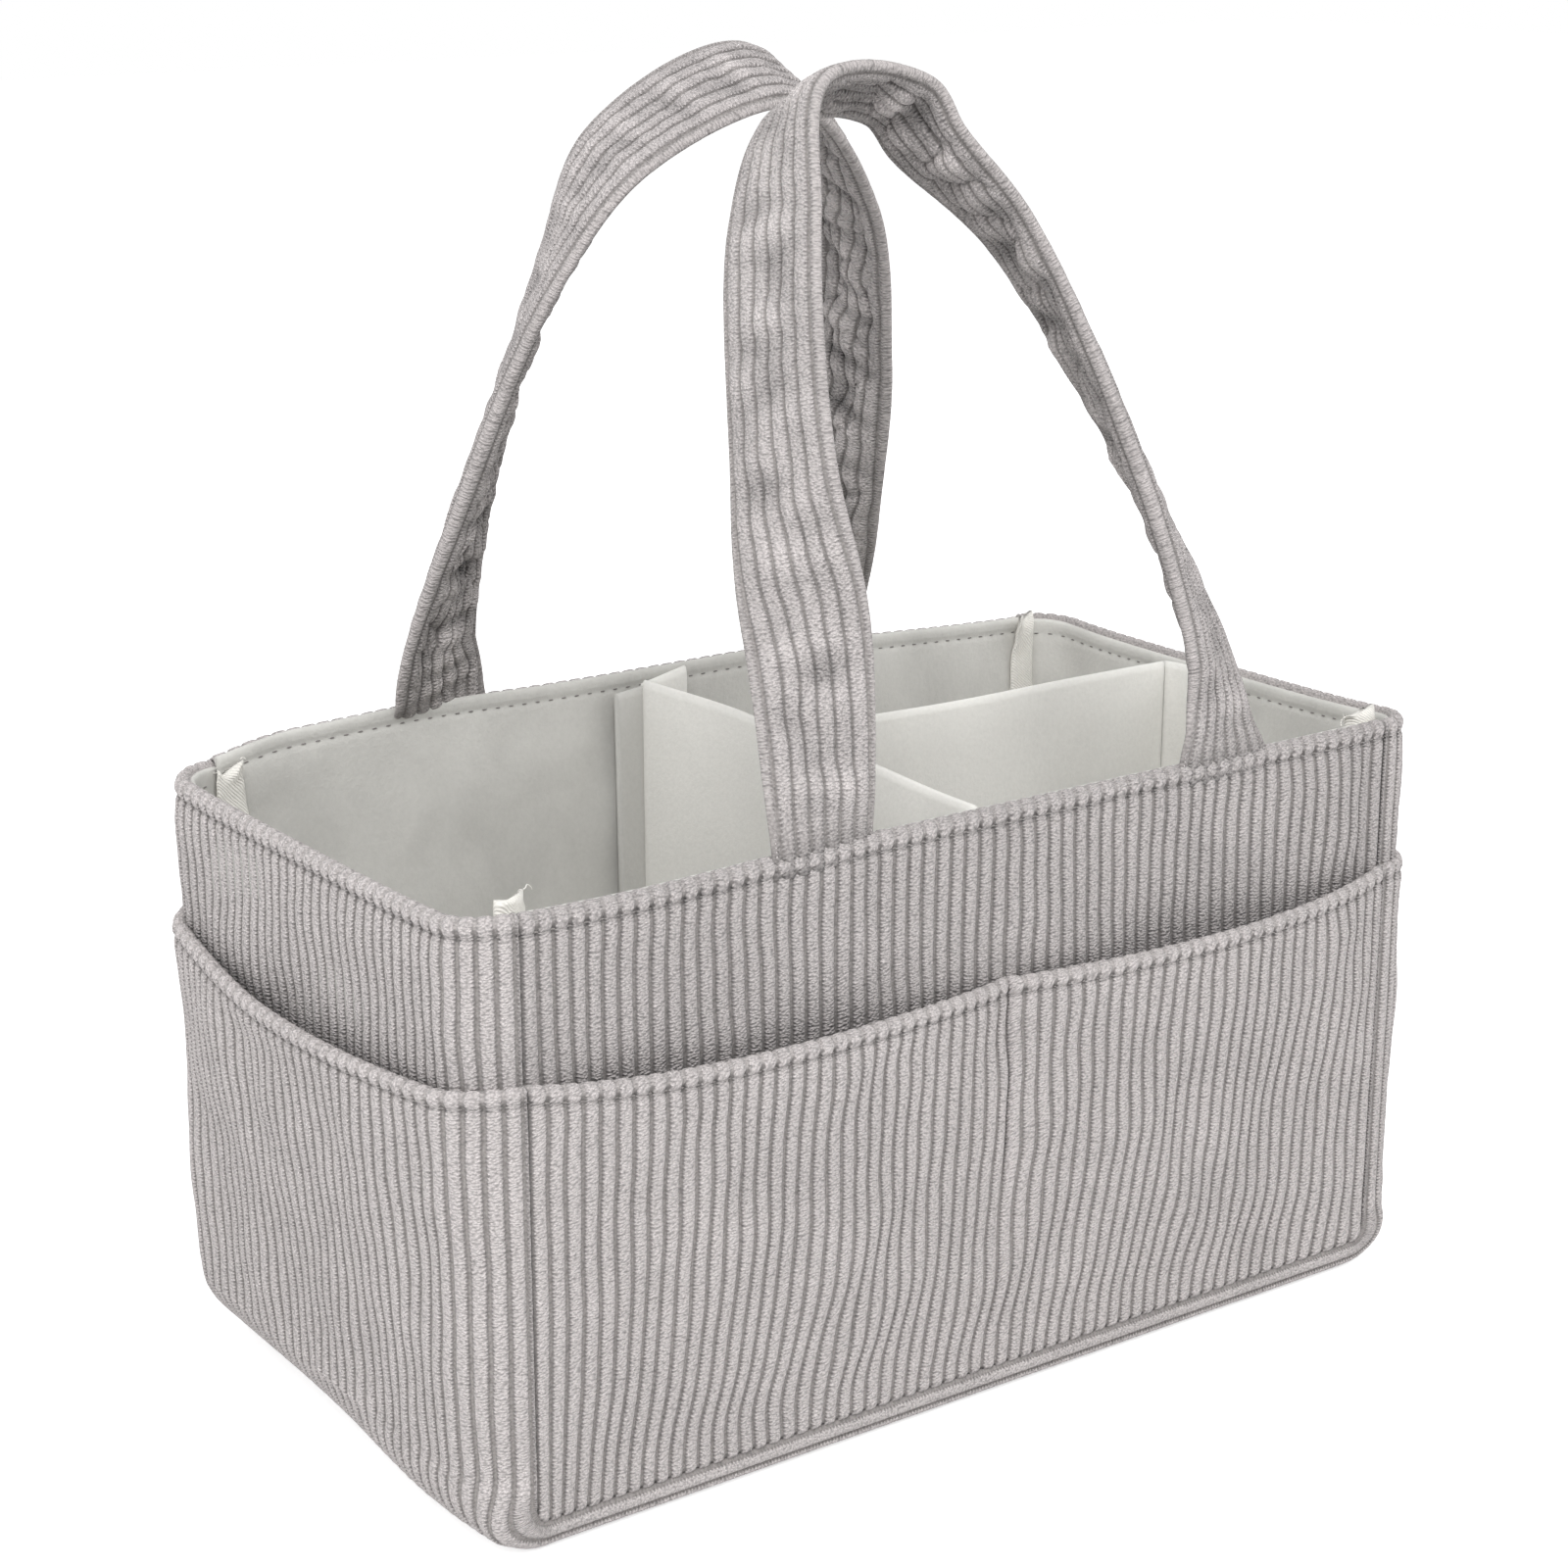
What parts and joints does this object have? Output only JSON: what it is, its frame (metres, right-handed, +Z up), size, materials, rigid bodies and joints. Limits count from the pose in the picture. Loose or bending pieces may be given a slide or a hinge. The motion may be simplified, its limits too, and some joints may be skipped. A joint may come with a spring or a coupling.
{
  "type": "diaper caddy",
  "caption": "Soft rectangular caddy with open-topped outer pockets all round, a felt-lined inside parted by lift-out dividers, and strap handles that swing at the rim.",
  "frame": {"origin": "under the middle of the base, on the surface that the caddy stands on", "axes": "+X along the length to the right as seen from the front, +Y to the back, +Z up"},
  "size_m": [0.3984, 0.2154, 0.4266],
  "materials": {
    "corduroy": "matte wide-wale corduroy",
    "felt": "matte pressed felt",
    "board": "matte stiffening board",
    "cotton_tape": "matte cotton twill",
    "hook_tape": "matte hook strip"
  },
  "bodies": {
    "basket": {"shell_front": "corduroy", "shell_back": "corduroy", "shell_gusset": "corduroy", "pocket_front": "corduroy", "pocket_back": "corduroy", "pocket_gusset": "corduroy", "board_front": "board", "board_back": "board", "board_left": "board", "board_right": "board", "board_base": "board", "lining_front": "felt", "lining_back": "felt", "lining_gusset": "felt", "seam_tape_front": "cotton_tape", "seam_tape_back": "cotton_tape", "handle_front_tail_left": "corduroy", "handle_front_tail_right": "corduroy", "handle_back_tail_left": "corduroy", "handle_back_tail_right": "corduroy"},
    "front_handle": {"handle_front": "corduroy"},
    "back_handle": {"handle_back": "corduroy"},
    "cross_divider": {"divider_cross": "felt", "divider_cross_hook_front": "hook_tape", "divider_cross_hook_back": "hook_tape"},
    "long_divider": {"divider_long": "felt", "divider_long_hook_left": "hook_tape", "divider_long_hook_right": "hook_tape"}
  },
  "joints": [
    {"name": "front_handle_swing", "type": "hinge", "parent": "basket", "child": "front_handle", "pos_m": [0, -0.101, 0.2025], "axis": [1, 0, 0], "range_deg": [0, 160]},
    {"name": "back_handle_swing", "type": "hinge", "parent": "basket", "child": "back_handle", "pos_m": [0, 0.101, 0.2025], "axis": [-1, 0, 0], "range_deg": [0, 160]},
    {"name": "cross_divider_lift", "type": "slide", "parent": "basket", "child": "cross_divider", "axis": [0, 0, 1], "range_m": [0, 0.193]},
    {"name": "long_divider_lift", "type": "slide", "parent": "basket", "child": "long_divider", "axis": [0, 0, 1], "range_m": [0, 0.165]}
  ]
}
